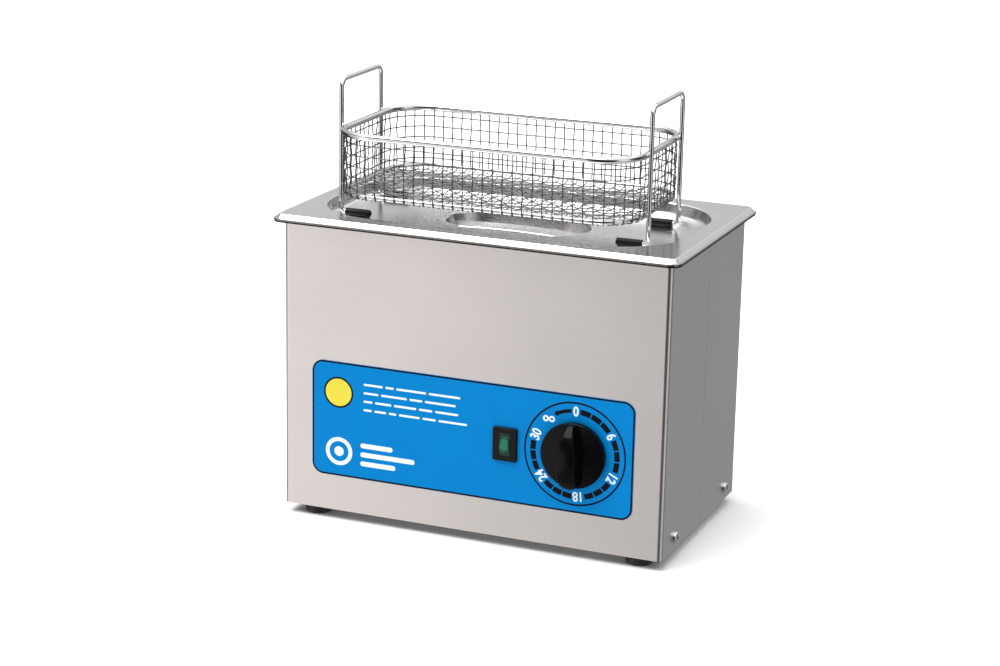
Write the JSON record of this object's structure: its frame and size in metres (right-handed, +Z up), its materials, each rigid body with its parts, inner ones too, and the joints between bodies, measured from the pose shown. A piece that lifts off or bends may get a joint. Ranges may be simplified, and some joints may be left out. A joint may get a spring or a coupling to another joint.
{
  "type": "ultrasonic cleaner",
  "caption": "Bench-top ultrasonic cleaner: folded steel casing, drawn tank, clockwork timer knob, lift-off lid with sunk strap handle, and a wire mesh basket standing on the lid.",
  "frame": {"origin": "middle of the whole object's footprint, on the plane that the rubber feet stand on", "axes": "+Z up, +X to the right and +Y to the back when facing the control panel"},
  "size_m": [0.265, 0.1728, 0.2754],
  "materials": {
    "casing_steel": "satin stainless sheet, brushed along the front and up the sides",
    "inner_steel": "plain mill finish stainless sheet",
    "tank_steel": "deep drawn stainless, satin",
    "lid_steel": "bright polished stainless",
    "basket_wire": "electropolished stainless wire",
    "basket_mesh_wire": "electropolished woven stainless wire",
    "screw_steel": "bright stainless screw",
    "zinc_hardware": "bright zinc plate",
    "foot_rubber": "matt black rubber",
    "sleeve_rubber": "satin black rubber",
    "seal_silicone": "black silicone sheet",
    "label_film": "screen printed blue polycarbonate film with white and black marks",
    "black_gloss": "black moulded nylon",
    "knob_black": "gloss black moulded knob",
    "green_lens": "green translucent lens",
    "lamp_glass": "clear glass neon capsule",
    "phenolic_black": "black moulding compound",
    "brass_tab": "plain brass",
    "shaft_steel": "turned steel",
    "horn_aluminium": "turned aluminium",
    "piezo_ceramic": "dark fired ceramic",
    "back_mass_steel": "turned steel",
    "black_oxide": "black oxide",
    "board_laminate": "green solder mask on glass laminate",
    "ferrite": "sintered ferrite",
    "winding_tape": "yellow polyester tape",
    "copper_wire": "enamelled copper wire",
    "capacitor_sleeve": "dark shrink sleeve",
    "film_box": "red boxed film capacitor",
    "heatsink_aluminium": "anodised aluminium extrusion",
    "terminal_plastic": "green moulded terminal block",
    "inlet_plastic": "black thermoplastic",
    "lead_blue": "PVC insulated wire",
    "lead_black": "PVC insulated wire",
    "lead_red": "PVC insulated wire"
  },
  "bodies": {
    "cabinet": {"back_mass_left": "back_mass_steel", "back_mass_right": "back_mass_steel", "base_nuts": "zinc_hardware", "base_plate": "inner_steel", "base_screws": "screw_steel", "board_screws": "screw_steel", "board_standoffs": "brass_tab", "bridge_rectifier": "phenolic_black", "casing_front": "casing_steel", "casing_rear": "casing_steel", "choke_core": "ferrite", "choke_winding": "copper_wire", "control_label": "label_film", "earth_stud": "brass_tab", "electrodes_left": "brass_tab", "electrodes_right": "brass_tab", "feet": "foot_rubber", "film_capacitors": "film_box", "foot_nuts": "zinc_hardware", "foot_screws": "screw_steel", "fuse_drawer": "inlet_plastic", "generator_board": "board_laminate", "heatsink": "heatsink_aluminium", "horn_left": "horn_aluminium", "horn_right": "horn_aluminium", "indicator_bezel": "black_gloss", "indicator_lamp": "lamp_glass", "indicator_lens": "green_lens", "inlet_body": "inlet_plastic", "inlet_nuts": "zinc_hardware", "inlet_pins": "brass_tab", "inlet_screws": "screw_steel", "lamp_leads": "lead_black", "mains_leads": "lead_blue", "piezo_rings_left": "piezo_ceramic", "piezo_rings_right": "piezo_ceramic", "power_transistors": "phenolic_black", "seam_strips": "inner_steel", "smoothing_capacitor": "capacitor_sleeve", "stack_bolt_left": "black_oxide", "stack_bolt_right": "black_oxide", "tank": "tank_steel", "tank_gasket": "seal_silicone", "terminal_block": "terminal_plastic", "timer_case": "phenolic_black", "timer_nut": "zinc_hardware", "timer_terminals": "brass_tab", "transducer_leads": "lead_red", "transformer_core": "ferrite", "transformer_winding": "winding_tape"},
    "cover": {"lid": "lid_steel", "lid_handle": "lid_steel"},
    "basket": {"basket_rim": "basket_wire", "basket_base_ring": "basket_wire", "basket_mesh": "basket_mesh_wire", "basket_handle_left": "basket_wire", "basket_handle_right": "basket_wire", "foot_sleeves": "sleeve_rubber"},
    "knob": {"timer_shaft": "shaft_steel", "timer_knob": "knob_black"}
  },
  "joints": [
    {"name": "timer_turn", "type": "hinge", "parent": "cabinet", "child": "knob", "pos_m": [0.0693, -0.0864, 0.067], "axis": [0, 1, 0], "range_deg": [-41, 290]},
    {"name": "lid_lift", "type": "slide", "parent": "cabinet", "child": "cover", "axis": [0, 0, 1], "range_m": [0, 0.15]},
    {"name": "basket_lift", "type": "slide", "parent": "cover", "child": "basket", "axis": [0, 0, 1], "range_m": [0, 0.15]}
  ]
}
